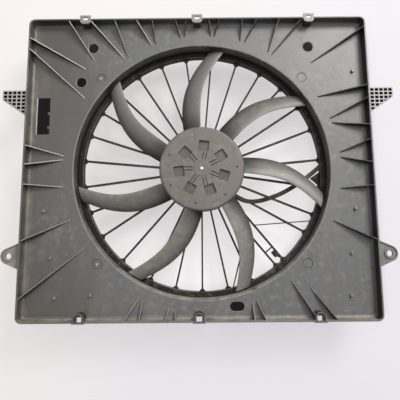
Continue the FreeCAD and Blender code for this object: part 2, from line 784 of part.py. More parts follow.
def make_hub():
    """Cup with a rounded rim, seven windows with slots, vent holes and inner ribs."""
    def at(r, y):
        return FreeCAD.Vector(fan_x + r, y, fan_z)

    back_face_y = hub_front_y + hub_face
    boss_front_y = hub_front_y - hub_boss_rise
    inner_r = hub_r - hub_wall
    bend = hub_round_r * (1 - math.sqrt(0.5))
    shoulder = at(hub_r - hub_round_r, hub_front_y)
    side_start = at(hub_r, hub_front_y + hub_round_r)
    rim_arc = Part.Arc(shoulder, at(hub_r - bend, hub_front_y + bend), side_start).toShape()
    bore_r = shaft_r + hub_bore_room
    bush_front_y = boss_front_y + hub_bush_cover
    before = [at(bore_r, boss_front_y), at(hub_boss_r - hub_boss_rise, boss_front_y),
              at(hub_boss_r, hub_front_y), shoulder]
    after = [side_start, at(hub_r, hub_back_y), at(inner_r, hub_back_y),
             at(inner_r, back_face_y + hub_round_r), at(inner_r - hub_round_r, back_face_y),
             at(hub_boss_r, back_face_y), at(hub_boss_r, rotor_front_y),
             at(hub_bush_r, rotor_front_y), at(hub_bush_r, bush_front_y),
             at(bore_r, bush_front_y), at(bore_r, boss_front_y)]
    lines = [Part.makeLine(a, b) for a, b in zip(before, before[1:])]
    lines_after = [Part.makeLine(a, b) for a, b in zip(after, after[1:])]
    cup = revolved_wire(Part.Wire(lines + [rim_arc] + lines_after))
    step = 360.0 / hub_window_count
    slot_end_x = fan_x + hub_window_r - hub_window / 2 + hub_slot_width
    cuts = []
    for k in range(hub_window_count):
        angle = hub_window_first + step * k
        window = rounded_box(fan_x + hub_window_r, fan_z, hub_window, hub_window, hub_window_corner_r,
                             hub_front_y - 1, back_face_y + 1)
        cuts.append(turned_about_fan(window, angle))
        for side in (-hub_slot_spread / 2, hub_slot_spread / 2):
            slot = box(fan_x + hub_slot_start_r, slot_end_x, hub_front_y - 1, back_face_y + 1,
                       fan_z + side - hub_slot_width / 2, fan_z + side + hub_slot_width / 2)
            cuts.append(turned_about_fan(slot, angle - hub_slot_lag))
        x, z = polar(hub_vent_r, angle + hub_vent_lead)
        cuts.append(rod(hub_vent_hole_r, x, z, hub_front_y - 1, back_face_y + hub_round_r))
    rib_start = rotor_r + hub_rib_room
    ribs = [radial_bar(hub_rib_wall, rib_start, inner_r + hub_wall / 2, hub_front_y + hub_face / 2,
                       back_face_y + hub_rib_depth, 360.0 / hub_rib_count * k + hub_window_first)
            for k in range(hub_rib_count)]
    return join([cup] + ribs).cut(cuts)


def blade_section(station):
    """Closed airfoil outline at one station, leading edge on the clockwise side and forwards."""
    share = (blade_stations[station] - blade_stations[0]) / (blade_stations[-1] - blade_stations[0])
    thickness = blade_thickness_root + (blade_thickness_tip - blade_thickness_root) * share
    radius = blade_stations[station]
    turn = math.radians(blade_sweep[station])
    pitch = math.radians(blade_pitch[station])
    chord = blade_chord[station]
    outward = FreeCAD.Vector(math.cos(turn), 0, math.sin(turn))
    around = FreeCAD.Vector(-math.sin(turn), 0, math.cos(turn))
    along = around * math.cos(pitch) + axis_dir * math.sin(pitch)
    forward = around * math.sin(pitch) - axis_dir * math.cos(pitch)
    middle = on_axis(hub_front_y + blade_middle_y[station]) + outward * radius

    def point(x, side):
        bow = blade_camber * chord * 4 * x * (1 - x)
        shape = 2.97 * math.sqrt(x) - 1.26 * x - 3.516 * x ** 2 + 2.843 * x ** 3 - 1.036 * x ** 4
        half = max(thickness * shape / 2, 0) * (1 - x) + (thickness * shape / 2 + blade_edge / 2) * x
        return middle + along * ((x - 0.5) * chord) + forward * (bow + side * half)

    upper = [point(x, 1) for x in blade_steps]
    lower = [point(x, -1) for x in reversed(blade_steps)]
    along_curve = [-math.sqrt(x) for x in blade_steps]
    along_curve += [0.0] + [math.sqrt(x) for x in reversed(blade_steps)]
    curve = Part.BSplineCurve()
    curve.interpolate(Points=upper + [point(0.0, 1)] + lower, Parameters=along_curve)
    return Part.Wire([curve.toShape(), Part.makeLine(lower[-1], upper[0])])


def balanced_places():
    """Tip places of all blades: the last two lie where the seven balance about the axis."""
    sum_x = sum(math.cos(math.radians(a)) for a in blade_tip_places)
    sum_z = sum(math.sin(math.radians(a)) for a in blade_tip_places)
    middle = math.degrees(math.atan2(-sum_z, -sum_x))
    half_spread = math.degrees(math.acos(min(math.hypot(sum_x, sum_z) / 2, 1)))
    return blade_tip_places + [middle - half_spread, middle + half_spread]


def make_blades():
    """Seven swept, twisted airfoil blades between the hub's wall and the tip circle."""
    blank = Part.makeLoft([blade_section(k) for k in range(len(blade_stations))], True, False)
    room = ring(hub_r, duct_r - tip_gap, pan_front_y, strut_front_y)
    blade = blank.common(room).Solids[0]
    return [turned_about_fan(blade, place) for place in balanced_places()]


# Motor


def make_rotor_cup():
    """Steel cup that carries the magnets, pressed on the shaft."""
    disc_back_y = rotor_front_y + rotor_wall
    cup = revolved([(shaft_r, rotor_front_y), (rotor_r, rotor_front_y), (rotor_r, rotor_back_y),
                    (rotor_r - rotor_wall, rotor_back_y), (rotor_r - rotor_wall, disc_back_y),
                    (rotor_collar_r, disc_back_y), (rotor_collar_r, rotor_front_y + rotor_collar_length),
                    (shaft_r, rotor_front_y + rotor_collar_length)])
    first = hub_window_first + 180.0 / rotor_vent_count
    vents = [rod(rotor_vent_r, x, z, rotor_front_y - 1, disc_back_y + 1)
             for x, z in screw_places(rotor_vent_count, first, rotor_vent_circle_r)]
    return cup.cut(vents)


def sector(inner_r, outer_r, y_front, y_back, start, sweep):
    face_outline = [(inner_r, y_front), (outer_r, y_front), (outer_r, y_back), (inner_r, y_back)]
    points = [FreeCAD.Vector(fan_x + r, y, fan_z) for r, y in face_outline]
    face = Part.Face(Part.makePolygon(points + points[:1]))
    return turned_about_fan(face.revolve(on_axis(0), FreeCAD.Vector(0, -1, 0), sweep), start)


def make_magnets():
    outer_r = rotor_r - rotor_wall
    step = 360.0 / magnet_count
    front_y = rotor_front_y + rotor_wall + magnet_setback
    return [sector(outer_r - magnet_thickness, outer_r, front_y, rotor_back_y - magnet_setback,
                   step * k, step - magnet_gap_angle) for k in range(magnet_count)]


def make_housing():
    """Die-cast body: bearing tube, partition, spigot, flange, pot, pillars and board posts."""
    seat_r = bearing_r
    tube_r = bearing_r + bearing_tube_wall
    shoulder_r = seat_r - bearing_shoulder
    spigot_r = ring_bore_r - spigot_clearance
    inner_r = pot_r - pot_wall
    front_seat_end = front_bearing_y + bearing_width
    back_face_y = spigot_front_y + partition
    body = revolved([(0, spigot_front_y), (seat_r, spigot_front_y), (seat_r, rear_bearing_y),
                     (shoulder_r, rear_bearing_y), (shoulder_r, front_seat_end), (seat_r, front_seat_end),
                     (seat_r, front_bearing_y), (tube_r, front_bearing_y), (tube_r, spigot_front_y),
                     (spigot_r, spigot_front_y), (spigot_r, strut_back_y), (flange_r, strut_back_y),
                     (flange_r, flange_back_y), (pot_r, flange_back_y), (pot_r, pot_back_y),
                     (inner_r, pot_back_y), (inner_r, back_face_y), (0, back_face_y)])
    posts = [rod(pillar_r, x, z, back_face_y - 1, pot_back_y)
             for x, z in screw_places(pillar_count, pillar_first, pillar_circle_r)]
    posts += [rod(board_post_r, x, z, back_face_y - 1, back_face_y + board_post_height)
              for x, z in screw_places(board_post_count, pillar_first, board_post_circle_r)]
    holes = [rod(motor_screw_r + screw_clearance, x, z, strut_back_y - 1, flange_back_y + 1)
             for x, z in screw_places(motor_screw_count, motor_screw_first, motor_screw_circle_r)]
    holes += [rod(cover_screw_r, x, z, pot_back_y - screw_engagement, pot_back_y + 1)
              for x, z in screw_places(pillar_count, pillar_first, pillar_circle_r)]
    holes.append(grommet_rod(grommet_r - grommet_collar, inner_r - 2, pot_r + 1))
    return join([body] + posts).cut(holes)


def make_bearing(y_front):
    """Ball bearing with a groove in each shielded face."""
    bore_r = shaft_r + bearing_clearance
    middle_r = (bore_r + bearing_r) / 2
    inner_r = middle_r - bearing_groove
    outer_r = middle_r + bearing_groove
    y_back = y_front + bearing_width
    y_low = y_front + bearing_groove_depth
    y_high = y_back - bearing_groove_depth
    return revolved([(bore_r, y_front), (inner_r, y_front), (inner_r, y_low), (outer_r, y_low),
                     (outer_r, y_front), (bearing_r, y_front), (bearing_r, y_back), (outer_r, y_back),
                     (outer_r, y_high), (inner_r, y_high), (inner_r, y_back), (bore_r, y_back)])


def stator_outer_r():
    return rotor_r - rotor_wall - magnet_thickness - air_gap


def make_stator_core():
    """Laminated stack on the bearing tube: yoke, teeth and their shoes."""
    back_y = stator_front_y + stator_width
    outer_r = stator_outer_r()
    yoke = ring(bearing_r + bearing_tube_wall, stator_yoke_r, stator_front_y, back_y)
    shoe_step = 360.0 / stator_teeth
    parts = [yoke]
    for k in range(stator_teeth):
        parts.append(radial_bar(stator_tooth_width, stator_yoke_r - 2, outer_r - 1, stator_front_y, back_y,
                                shoe_step * k))
        parts.append(sector(outer_r - stator_shoe, outer_r, stator_front_y, back_y,
                            shoe_step * (k - 0.5) + stator_shoe_gap_angle / 2,
                            shoe_step - stator_shoe_gap_angle))
    return join(parts)


def make_windings():
    """One coil round each tooth."""
    back_y = stator_front_y + stator_width
    coils = []
    for k in range(stator_teeth):
        angle = 360.0 / stator_teeth * k
        outer = radial_bar(stator_tooth_width + 2 * coil_thickness, coil_start_r, coil_end_r,
                           stator_front_y - coil_thickness, back_y + coil_thickness, angle)
        inner = radial_bar(stator_tooth_width, coil_start_r - 1, coil_end_r + 1,
                           stator_front_y, back_y, angle)
        coils.append(outer.cut(inner))
    return coils


def board_front_y():
    return spigot_front_y + partition + board_post_height


def make_board():
    front_y = board_front_y()
    return disc(board_r, front_y, front_y + board_thickness)


def make_capacitors():
    front_y = board_front_y() + board_thickness
    cans = []
    for x, z in screw_places(capacitor_count, 0, capacitor_circle_r):
        can = rod(capacitor_r, x, z, front_y, front_y + capacitor_height)
        cans.append(can.makeChamfer(capacitor_edge, edges_at(can, front_y + capacitor_height)))
    return cans


def make_rear_cover():
    """Disc with straight cooling fins, cut away round its screws."""
    plate = disc(pot_r, pot_back_y, cover_back_y)
    fins = []
    for k in range(fin_count):
        x = fan_x + fin_pitch * (k - (fin_count - 1) / 2)
        fins.append(box(x - fin_wall / 2, x + fin_wall / 2, cover_back_y - 1, cover_back_y + fin_height,
                        fan_z - pot_r, fan_z + pot_r))
    trimmed = group(fins).common(disc(pot_r - fin_inset, cover_back_y - 1, cover_back_y + fin_height))
    places = screw_places(pillar_count, pillar_first, pillar_circle_r)
    well_r = cover_screw_head_r + screw_well_room
    wells = [rod(well_r, x, z, cover_back_y, cover_back_y + fin_height + 1) for x, z in places]
    hole_r = cover_screw_r + screw_clearance
    holes = [rod(hole_r, x, z, pot_back_y - 1, cover_back_y + 1) for x, z in places]
    return join([plate] + trimmed.Solids).cut(wells + holes)


def make_screws(places, shank_r, shank_length, head_r, head_height, seat_y):
    """Pan-head screws with a hexagon socket, heads at the back."""
    screws = []
    for x, z in places:
        shank = rod(shank_r, x, z, seat_y - shank_length, seat_y)
        head = rod(head_r, x, z, seat_y, seat_y + head_height)
        head = head.makeFillet(head_height / 3, edges_at(head, seat_y + head_height))
        turns = [math.radians(60 * k) for k in range(6)]
        hexagon = [(x + head_r / 2 * math.cos(t), z + head_r / 2 * math.sin(t)) for t in turns]
        socket = prism(hexagon, seat_y + head_height / 2, seat_y + head_height + 1)
        screws.append(join([shank, head]).cut(socket))
    return screws


# Cable and plug


def grommet_y():
    return flange_back_y + pot_depth / 2


def grommet_rod(radius, r_start, r_end):
    """Round bar along the way that the cable leaves the pot."""
    start_x, start_z = polar(r_start, grommet_angle)
    turn = math.radians(grommet_angle)
    direction = FreeCAD.Vector(math.cos(turn), 0, math.sin(turn))
    start = FreeCAD.Vector(start_x, grommet_y(), start_z)
    return Part.makeCylinder(radius, r_end - r_start, start, direction)


def make_grommet():
    """Rubber sleeve in the pot's wall, with a collar outside."""
    inner_r = pot_r - pot_wall
    collar = grommet_rod(grommet_r, pot_r - 1, pot_r + grommet_length - grommet_hold)
    collar = collar.cut(disc(pot_r, flange_back_y, pot_back_y))
    stem = grommet_rod(grommet_r - grommet_collar, inner_r - 1, pot_r + grommet_length)
    return join([collar, stem]).cut(disc(inner_r, flange_back_y, pot_back_y))


def cable_points():
    """Corners of the cable's route: straight out of the grommet, and straight into the plug."""
    grommet_end = pot_r + grommet_length
    points = []
    for radius in (grommet_end, grommet_end + cable_first_run):
        x, z = polar(radius, grommet_angle)
        points.append(FreeCAD.Vector(x, grommet_y(), z))
    points += [FreeCAD.Vector(fan_x + x, y, fan_z + z) for x, y, z in cable_route]
    plug_y = plate_back_y + bracket_thickness + plug_thickness / 2
    plug_end = fan_z + plug_z - plug_length / 2 - plug_collar
    for z in (plug_end - cable_last_run, plug_end):
        points.append(FreeCAD.Vector(fan_x + plug_x, plug_y, z))
    return points


def make_cable():
    """Round cable along straight runs joined by tangent arcs as large as the runs allow."""
    points = cable_points()
    edges = []
    start = points[0]
    length = 0.0
    radii = []
    for before, corner, after in zip(points, points[1:], points[2:]):
        run_in = (before - corner)
        run_out = (after - corner)
        turn = math.pi - run_in.getAngle(run_out)
        setback = 0.45 * min(run_in.Length, run_out.Length)
        radius = setback / math.tan(turn / 2)
        radii.append(round(radius))
        run_in.normalize()
        run_out.normalize()
        arc_start = corner + run_in * setback
        arc_end = corner + run_out * setback
        inwards = (run_in + run_out)
        inwards.normalize()
        depth = radius / math.cos(turn / 2) - radius
        edges.append(Part.makeLine(start, arc_start))
        edges.append(Part.Arc(arc_start, corner + inwards * depth, arc_end).toShape())
        length += edges[-2].Length + edges[-1].Length
        start = arc_end
    edges.append(Part.makeLine(start, points[-1]))
    length += edges[-1].Length
    path = Part.Wire(edges)
    direction = points[1] - points[0]
    section = Part.Wire([Part.makeCircle(cable_r, points[0], direction)])
    tube = path.makePipeShell([section], True, True)
    expected = math.pi * cable_r ** 2 * length
    print("cable: radii %s, length %.1f, volume %.0f of %.0f" % (radii, length, tube.Volume, expected))
    return tube


def make_plug():
    """Plug housing with a collar that the cable runs into."""
    x = fan_x + plug_x
    front_y = plate_back_y + bracket_thickness
    middle_z = fan_z + plug_z
    body = box(x - plug_width / 2, x + plug_width / 2, front_y, front_y + plug_thickness,
               middle_z - plug_length / 2, middle_z + plug_length / 2)
    body = body.makeFillet(plug_corner_r, [e for e in body.Edges if abs(e.tangentAt(0).z) > 0.99])
    half = plug_width / 2 - plug_wall
    socket = box(x - half, x + half, front_y + plug_wall, front_y + plug_thickness - plug_wall,
                 middle_z, middle_z + plug_length)
    base = FreeCAD.Vector(x, front_y + plug_thickness / 2, middle_z - plug_length / 2 - plug_collar)
    collar = Part.makeCylinder(cable_r + plug_collar_wall, plug_collar + 1, base, FreeCAD.Vector(0, 0, 1))
    return join([body, collar]).cut(socket)


def make_bracket():
    """Tray on the back of the plate that grips the plug at both sides."""
    x = fan_x + plug_x
    back_y = plate_back_y + bracket_thickness
    half = plug_width / 2
    z_low = fan_z + plug_z - plug_length / 2 + bracket_inset
    z_high = fan_z + plug_z + plug_length / 2 - bracket_inset
    base = box(x - half - bracket_side, x + half + bracket_side, plate_back_y, back_y, z_low, z_high)
    cheeks = []
    for side in (-1, 1):
        edge = x + side * (half + bracket_side / 2)
        cheeks.append(box(edge - bracket_side / 2, edge + bracket_side / 2, back_y - 1,
                          back_y + plug_thickness / 2, z_low, z_high))
    return join([base] + cheeks)


panel = make_panel()
upper_tabs = make_upper_tabs(panel)
lower_tabs = make_lower_tabs()
struts = make_struts()
motor_screw_places = screw_places(motor_screw_count, motor_screw_first, motor_screw_circle_r)
cover_screw_places = screw_places(pillar_count, pillar_first, pillar_circle_r)

save(panel, "shroud_panel")
save(group(make_ribs([panel] + upper_tabs + lower_tabs)), "stiffening_ribs")
save(group(make_pegs()), "locating_pegs")
save(group(upper_tabs), "upper_clip_tabs")
save(group(lower_tabs), "lower_clip_tabs")
save(make_ear(-1), "left_ear")
save(make_ear(1), "right_ear")
save(make_wing(-1), "left_lattice_wing")
save(make_wing(1), "right_lattice_wing")
save(make_duct(), "duct_ring")
save(make_duct_step(), "duct_step")
save(make_rear_ring(), "rear_ring")
save(group(struts), "stator_struts")
save(group(make_braces(struts)), "strut_braces")
save(make_cable_clip(struts), "cable_clip")
save(make_cable_guide(struts), "cable_guide")
save(make_motor_ring(), "motor_ring")
save(make_bracket(), "connector_bracket")

save(make_hub(), "fan_hub")
save(group(make_blades()), "fan_blades")
save(ring(shaft_r, hub_bush_r, hub_front_y - hub_boss_rise + hub_bush_cover, rotor_front_y), "hub_insert")
save(disc(shaft_r, hub_front_y - hub_boss_rise - shaft_proud, shaft_back_y), "shaft")
save(make_rotor_cup(), "rotor_cup")
save(group(make_magnets()), "rotor_magnets")

save(make_housing(), "motor_housing")
save(make_bearing(front_bearing_y), "front_bearing")
save(make_bearing(rear_bearing_y), "rear_bearing")
save(make_stator_core(), "stator_core")
save(group(make_windings()), "stator_windings")
save(make_board(), "circuit_board")
save(group(make_capacitors()), "capacitors")
save(make_rear_cover(), "rear_cover")
save(group(make_screws(motor_screw_places, motor_screw_r, screw_engagement + flange_thickness,
                       motor_screw_head_r, motor_screw_head, flange_back_y)), "motor_screws")
save(group(make_screws(cover_screw_places, cover_screw_r, screw_engagement + cover_thickness,
                       cover_screw_head_r, cover_screw_head, cover_back_y)), "cover_screws")

save(make_grommet(), "cable_grommet")
save(make_cable(), "motor_cable")
save(make_plug(), "cable_connector")
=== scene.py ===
import math

import bmesh
import bpy
from mathutils import Matrix, Vector


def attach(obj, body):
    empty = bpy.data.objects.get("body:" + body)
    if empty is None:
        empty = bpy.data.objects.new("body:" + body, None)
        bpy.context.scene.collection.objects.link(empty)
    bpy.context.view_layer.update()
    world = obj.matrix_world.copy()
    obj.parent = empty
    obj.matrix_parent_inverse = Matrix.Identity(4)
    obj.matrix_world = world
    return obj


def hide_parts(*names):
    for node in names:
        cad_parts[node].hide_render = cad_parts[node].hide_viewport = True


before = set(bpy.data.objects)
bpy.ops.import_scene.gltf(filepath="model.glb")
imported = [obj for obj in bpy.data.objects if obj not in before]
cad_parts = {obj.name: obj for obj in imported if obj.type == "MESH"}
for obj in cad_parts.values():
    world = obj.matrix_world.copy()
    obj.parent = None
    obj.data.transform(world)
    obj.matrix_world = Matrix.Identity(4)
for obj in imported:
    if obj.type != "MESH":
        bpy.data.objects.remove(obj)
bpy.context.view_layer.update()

bpy.ops.object.select_all(action="DESELECT")


# Shroud panel. The pan is one large moulding of glass-filled plastic, charcoal and matte, with a
# fine spark grain. Years behind a radiator have left road dust on its upward faces, brown dirt on
# its left side, wiped smears on the plate and pale rubbed edges. Its left side is also painted
# darker as shade, the foot of its left wall has a painted highlight in its tan dust, and the inner
# face of its right wall carries painted shade.


class Wire:
    """A shader socket that takes part in written sums. Each sum adds a Math node."""
    tree = None

    def __init__(self, socket):
        self.socket = socket

    @classmethod
    def node(cls, kind, settings=(), inputs=(), output=0):
        """Adds a node with these settings and inputs, and returns one of its outputs."""
        made = cls.tree.nodes.new(kind)
        for name, value in dict(settings).items():
            setattr(made, name, value)
        for key, value in dict(inputs).items():
            cls.feed(made.inputs[key], value)
        return cls(made.outputs[output])

    @classmethod
    def feed(cls, socket, value):
        """Links a socket to a wire, or sets it to a plain value."""
        if isinstance(value, Wire):
            cls.tree.links.new(value.socket, socket)
        else:
            socket.default_value = value

    def out(self, index):
        """Another output of the same node."""
        return Wire(self.socket.node.outputs[index])

    def work(self, operation, first, second):
        return Wire.node("ShaderNodeMath", {"operation": operation}, {0: first, 1: second})

    def __add__(self, other):
        return self.work("ADD", self, other)

    def __sub__(self, other):
        return self.work("SUBTRACT", self, other)

    def __rsub__(self, other):
        return self.work("SUBTRACT", other, self)

    def __mul__(self, other):
        return self.work("MULTIPLY", self, other)

    __radd__ = __add__
    __rmul__ = __mul__

    def within(self, low, high, soft):
        """1 between the two values, 0 outside, with soft borders."""
        return rise(self, low - soft, low + soft) * rise(self, high + soft, high - soft)


def new_finish(name):
    """Starts a material and returns it with its surface shader."""
    material = bpy.data.materials.new(name)
    material.use_nodes = True
    Wire.tree = material.node_tree
    return material, Wire.tree.nodes["Principled BSDF"]


def object_place():
    """Coordinates on the part, in metres."""
    return Wire.node("ShaderNodeTexCoord", output=3)


def object_facing():
    """Direction that the surface faces, along the part's own axes."""
    return Wire.node("ShaderNodeTexCoord", output=1)


def coordinates(vector):
    """The parts of a vector: to the right, away from the camera, and up."""
    right = Wire.node("ShaderNodeSeparateXYZ", {}, {0: vector})
    return right, right.out(1), right.out(2)


def rise(value, low, high):
    """0 below low and 1 above high, smooth between. It falls where low is above high."""
    return Wire.node("ShaderNodeMapRange", {"interpolation_type": "SMOOTHSTEP"},
                     {0: value, 1: low, 2: high})


def tint(share, low, high):
    """Colour that goes from low to high with the share."""
    return Wire.node("ShaderNodeMix", {"data_type": "RGBA"}, {0: share, 6: low, 7: high}, 2)


def shade(colour, factor):
    """The colour made darker or paler by this factor."""
    return tuple(part * factor for part in colour[:3]) + (1.0,)


def cloud(place, scale, detail=2.0, seed=0.0, squeeze=(1.0, 1.0, 1.0), turn=(0.0, 0.0, 0.0)):
    """Noise from 0 to 1 with this many features a metre, squeezed and turned as asked."""
    moved = Wire.node("ShaderNodeMapping", {},
                      {0: place, 1: (seed, seed * 0.7, -seed), 2: turn, 3: squeeze})
    return Wire.node("ShaderNodeTexNoise", {}, {"Vector": moved, "Scale": scale, "Detail": detail})


def distance_from_axis(place, axis_x, axis_z):
    """Distance from the line through this point that runs straight away from the camera."""
    flat = Wire.node("ShaderNodeMapping", {},
                     {0: place, 1: (-axis_x, 0.0, -axis_z), 3: (1.0, 0.0, 1.0)})
    return Wire.node("ShaderNodeVectorMath", {"operation": "LENGTH"}, {0: flat}, 1)


def edge_normal(radius):
    """Normal that rounds the sharp edges of a piece over this radius."""
    return Wire.node("ShaderNodeBevel", {"samples": 4}, {"Radius": radius})


def edge_share(rounded):
    """1 along edges, 0 on flat faces."""
    straight = Wire.node("ShaderNodeNewGeometry", output=1)
    agree = Wire.node("ShaderNodeVectorMath", {"operation": "DOT_PRODUCT"}, {0: rounded, 1: straight}, 1)
    return rise(agree, 0.99, 0.86)


def bump(height, strength, distance, normal):
    """Normal with fine relief laid over it."""
    return Wire.node("ShaderNodeBump", {}, {"Strength": strength, "Distance": distance,
                                            "Height": height, "Normal": normal})


fan_x = 0.007
fan_z = 0.163
dust_colour = (0.300, 0.262, 0.205, 1.0)
pale_rub_and_highlight = (0.420, 0.410, 0.395, 1.0)
spark_depth = 0.0006

# Where marks start and where they are full, and for the walls the two sides and a soft border
left_side_ends = (-0.32, -0.08)
left_wall_foot = (-0.3235, -0.3130, 0.0025)
right_wall_face = (0.3175, 0.3255, 0.0010)
behind_front_edge = (-0.0090, -0.0070)
root_shade_full_r = 0.080


def with_wall_dust_and_shade(body, place, patches, wall_dust_and_shade):
    """Tan dust with painted highlight at the left wall's foot; painted shade inside the right wall."""
    foot_dust_and_highlight, right_wall_shade = wall_dust_and_shade
    right, away, _ = coordinates(place)
    foot = right.within(*left_wall_foot) * (0.25 + rise(patches, 0.40, 0.62) * 0.75)
    body = tint(foot * 0.42, body, foot_dust_and_highlight)
    far_wall = right.within(*right_wall_face) * rise(away, *behind_front_edge)
    return tint(far_wall * 0.9, body, right_wall_shade)


def with_root_shade(body, place, root_shade):
    """Shade round the hub that ends at a radius."""
    shade_colour, shade_end = root_shade
    near_hub = rise(distance_from_axis(place, fan_x, fan_z), shade_end, root_shade_full_r)
    return tint(near_hub * 0.9, body, shade_colour)


def with_edge_highlight(body, place, rounded, edge_highlight):
    """Painted highlight along front edges, but for those that face left or down, stronger higher up."""
    turned_right, turned_away, turned_up = coordinates(rounded)
    lit_side = rise(turned_right * 0.9 + turned_up * 0.45, -0.10, 0.12)
    paler_above = 0.35 + rise(coordinates(place)[2], 0.0, 0.35) * 0.65
    return tint(rise(0.0 - turned_away, 0.20, 0.45) * lit_side * paler_above, body, edge_highlight)


def moulded(name, colour, dust=0.6, film=0.3, rub=0.5, rough=0.5, specular=0.4, edge=0.0006, grain=0.10,
            left_colour=None, wall_dust_and_shade=None, root_shade=None, front_highlight_and_rub=0.0, edge_highlight=None, painted_depth_shade=None):
    """Matte moulded plastic with dust on upward faces, a wiped film, rubbed edges and spark grain.
    On some pieces the pale edges are also a painted highlight.

    Where they are given, left_colour is the colour of the pan's left side, brown dirt with painted
    shade, wall_dust_and_shade the tan dust with a painted highlight and the painted shade on its
    walls, root_shade a painted shade colour round the hub and the radius where it ends,
    front_highlight_and_rub how much faces towards the camera carry a painted highlight with some rub,
    edge_highlight the colour of a painted highlight on upper front edges, and painted_depth_shade a
    painted shade colour for what lies deeper, with the depths where it starts and where it is full.
    """
    material, surface = new_finish(name)
    place = object_place()
    right, away, _ = coordinates(place)
    _, facing_away, facing_up = coordinates(object_facing())
    broad = cloud(place, 6.0, detail=3.0, seed=1.3)
    patches = cloud(place, 38.0, detail=4.0, seed=2.1)
    specks = cloud(place, 300.0, detail=1.0, seed=4.7)
    smear = cloud(place, 30.0, detail=3.0, seed=6.2, squeeze=(1.0, 1.0, 0.16), turn=(0.0, 0.9, 0.0))
    mottle = cloud(place, 95.0, detail=3.0, seed=8.8)
    body = colour
    # The left side is browner and darker: brown dirt with painted shade.
    if left_colour:
        body = tint(rise(right + (broad - 0.5) * 0.25, *left_side_ends), left_colour, colour)
    body = tint(rise(broad, 0.3, 0.7) * 0.35, body, shade(colour, 0.72))
    film_share = rise(patches * 0.55 + smear * 0.45, 0.46, 0.66) * film
    body = tint(film_share, body, dust_colour)
    settled = rise(facing_up, 0.35, 0.9) * rise(patches, 0.25, 0.6) * dust
    body = tint(settled, body, dust_colour)
    pale_mottle = rise(mottle, 0.50, 0.74) * rise(broad, 0.42, 0.58) * 0.14
    body = tint(pale_mottle, body, pale_rub_and_highlight)
    dark_mottle = rise(mottle, 0.50, 0.30) * rise(patches, 0.42, 0.60) * 0.30
    body = tint(dark_mottle, body, shade(colour, 0.35))
    spots = rise(specks, 0.73, 0.79) * rise(broad, 0.56, 0.46) * 0.75
    body = tint(spots, body, pale_rub_and_highlight)
    if wall_dust_and_shade:
        body = with_wall_dust_and_shade(body, place, patches, wall_dust_and_shade)
    if root_shade:
        body = with_root_shade(body, place, root_shade)
    rounded = edge_normal(edge)
    # Pale edges: wear, and on the ribs and the duct's step and rear ring also a painted highlight.
    rubbed = edge_share(rounded) * (0.45 + rise(patches, 0.35, 0.65) * 0.55) * rub
    body = tint(rubbed, body, pale_rub_and_highlight)
    # Faces towards the camera made paler: a painted highlight with some rub.
    if front_highlight_and_rub:
        front_face = rise(0.0 - facing_away, 0.5, 0.9) * (0.6 + patches * 0.6)
        body = tint(front_face * front_highlight_and_rub, body, pale_rub_and_highlight)
    # Painted highlight on the upper front edges that face the light.
    if edge_highlight:
        body = with_edge_highlight(body, place, rounded, edge_highlight)
    # Painted shade on what lies deeper, away from the front.
    if painted_depth_shade:
        depth_shade_colour, depth_shade_start, depth_shade_end = painted_depth_shade
        body = tint(rise(away, depth_shade_start, depth_shade_end), body, depth_shade_colour)
    Wire.feed(surface.inputs["Base Color"], body)
    Wire.feed(surface.inputs["Roughness"], rough + (patches - 0.5) * 0.16 + settled * 0.25)
    surface.inputs["Specular IOR Level"].default_value = specular
    spark = cloud(place, 1500.0, detail=1.0, seed=0.4) + patches * 0.8
    Wire.feed(surface.inputs["Normal"], bump(spark, grain, spark_depth, rounded))
    return material


def dress(material, *names):
    """Gives CAD nodes this finish."""
    for name in names:
        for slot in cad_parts[name].material_slots:
            slot.material = material


plate_grey = (0.112, 0.112, 0.114, 1.0)
plate_brown_and_shade = (0.070, 0.062, 0.056, 1.0)
# Tan dust with a painted highlight for the left wall's foot, painted shade for the right wall's inner
# face.
tan_dust_and_highlight = (0.230, 0.205, 0.160, 1.0)
painted_wall_shade = (0.012, 0.011, 0.011, 1.0)
dress(moulded("shroud_plate", plate_grey, dust=0.75, film=0.11, rub=0.8, rough=0.44, specular=0.5,
              edge=0.0009, left_colour=plate_brown_and_shade, wall_dust_and_shade=(tan_dust_and_highlight, painted_wall_shade)), "shroud_panel")


# Gate marks. Where the plastic was injected the plate has four round recesses, with a dark ring of
# painted shade round their rims. In the two on the left a small pale stub, cut off short, is plain to see.
plate_front = 0.010
gate_circle_r = 0.265
gate_recess = 0.0006
left_gates = (137.7, -137.4)
right_gates = (42.0, -42.9)
stub_r = 0.0024
stub_height = 0.0012
stub_rim = 0.0009
stub_hollow = 0.0004
stub_round = 0.00025
smooth_angle = math.radians(35)
shade_ring_r = 0.0091
shade_bead_r = 0.0006
faces_camera = (math.pi / 2, 0, 0)


def gate_place(angle, depth):
    """Middle of a gate mark, at this angle anticlockwise from the right as seen from the fan's axis."""
    turn = math.radians(angle)
    return fan_x + gate_circle_r * math.cos(turn), depth, fan_z + gate_circle_r * math.sin(turn)


def keep_on_shroud(piece, material):
    """Gives a finished piece its material and lets it ride on the shroud."""
    piece.data.materials.append(material)
    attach(piece, "shroud")
    bpy.ops.object.select_all(action="DESELECT")


def round_over(piece, width, segments):
    """Rounds the edges of a piece by a bevel and smooths its shading."""
    soften = piece.modifiers.new("soften", "BEVEL")
    soften.width = width
    soften.segments = segments
    bpy.ops.object.modifier_apply(modifier="soften")
    bpy.ops.object.shade_smooth_by_angle(angle=smooth_angle)


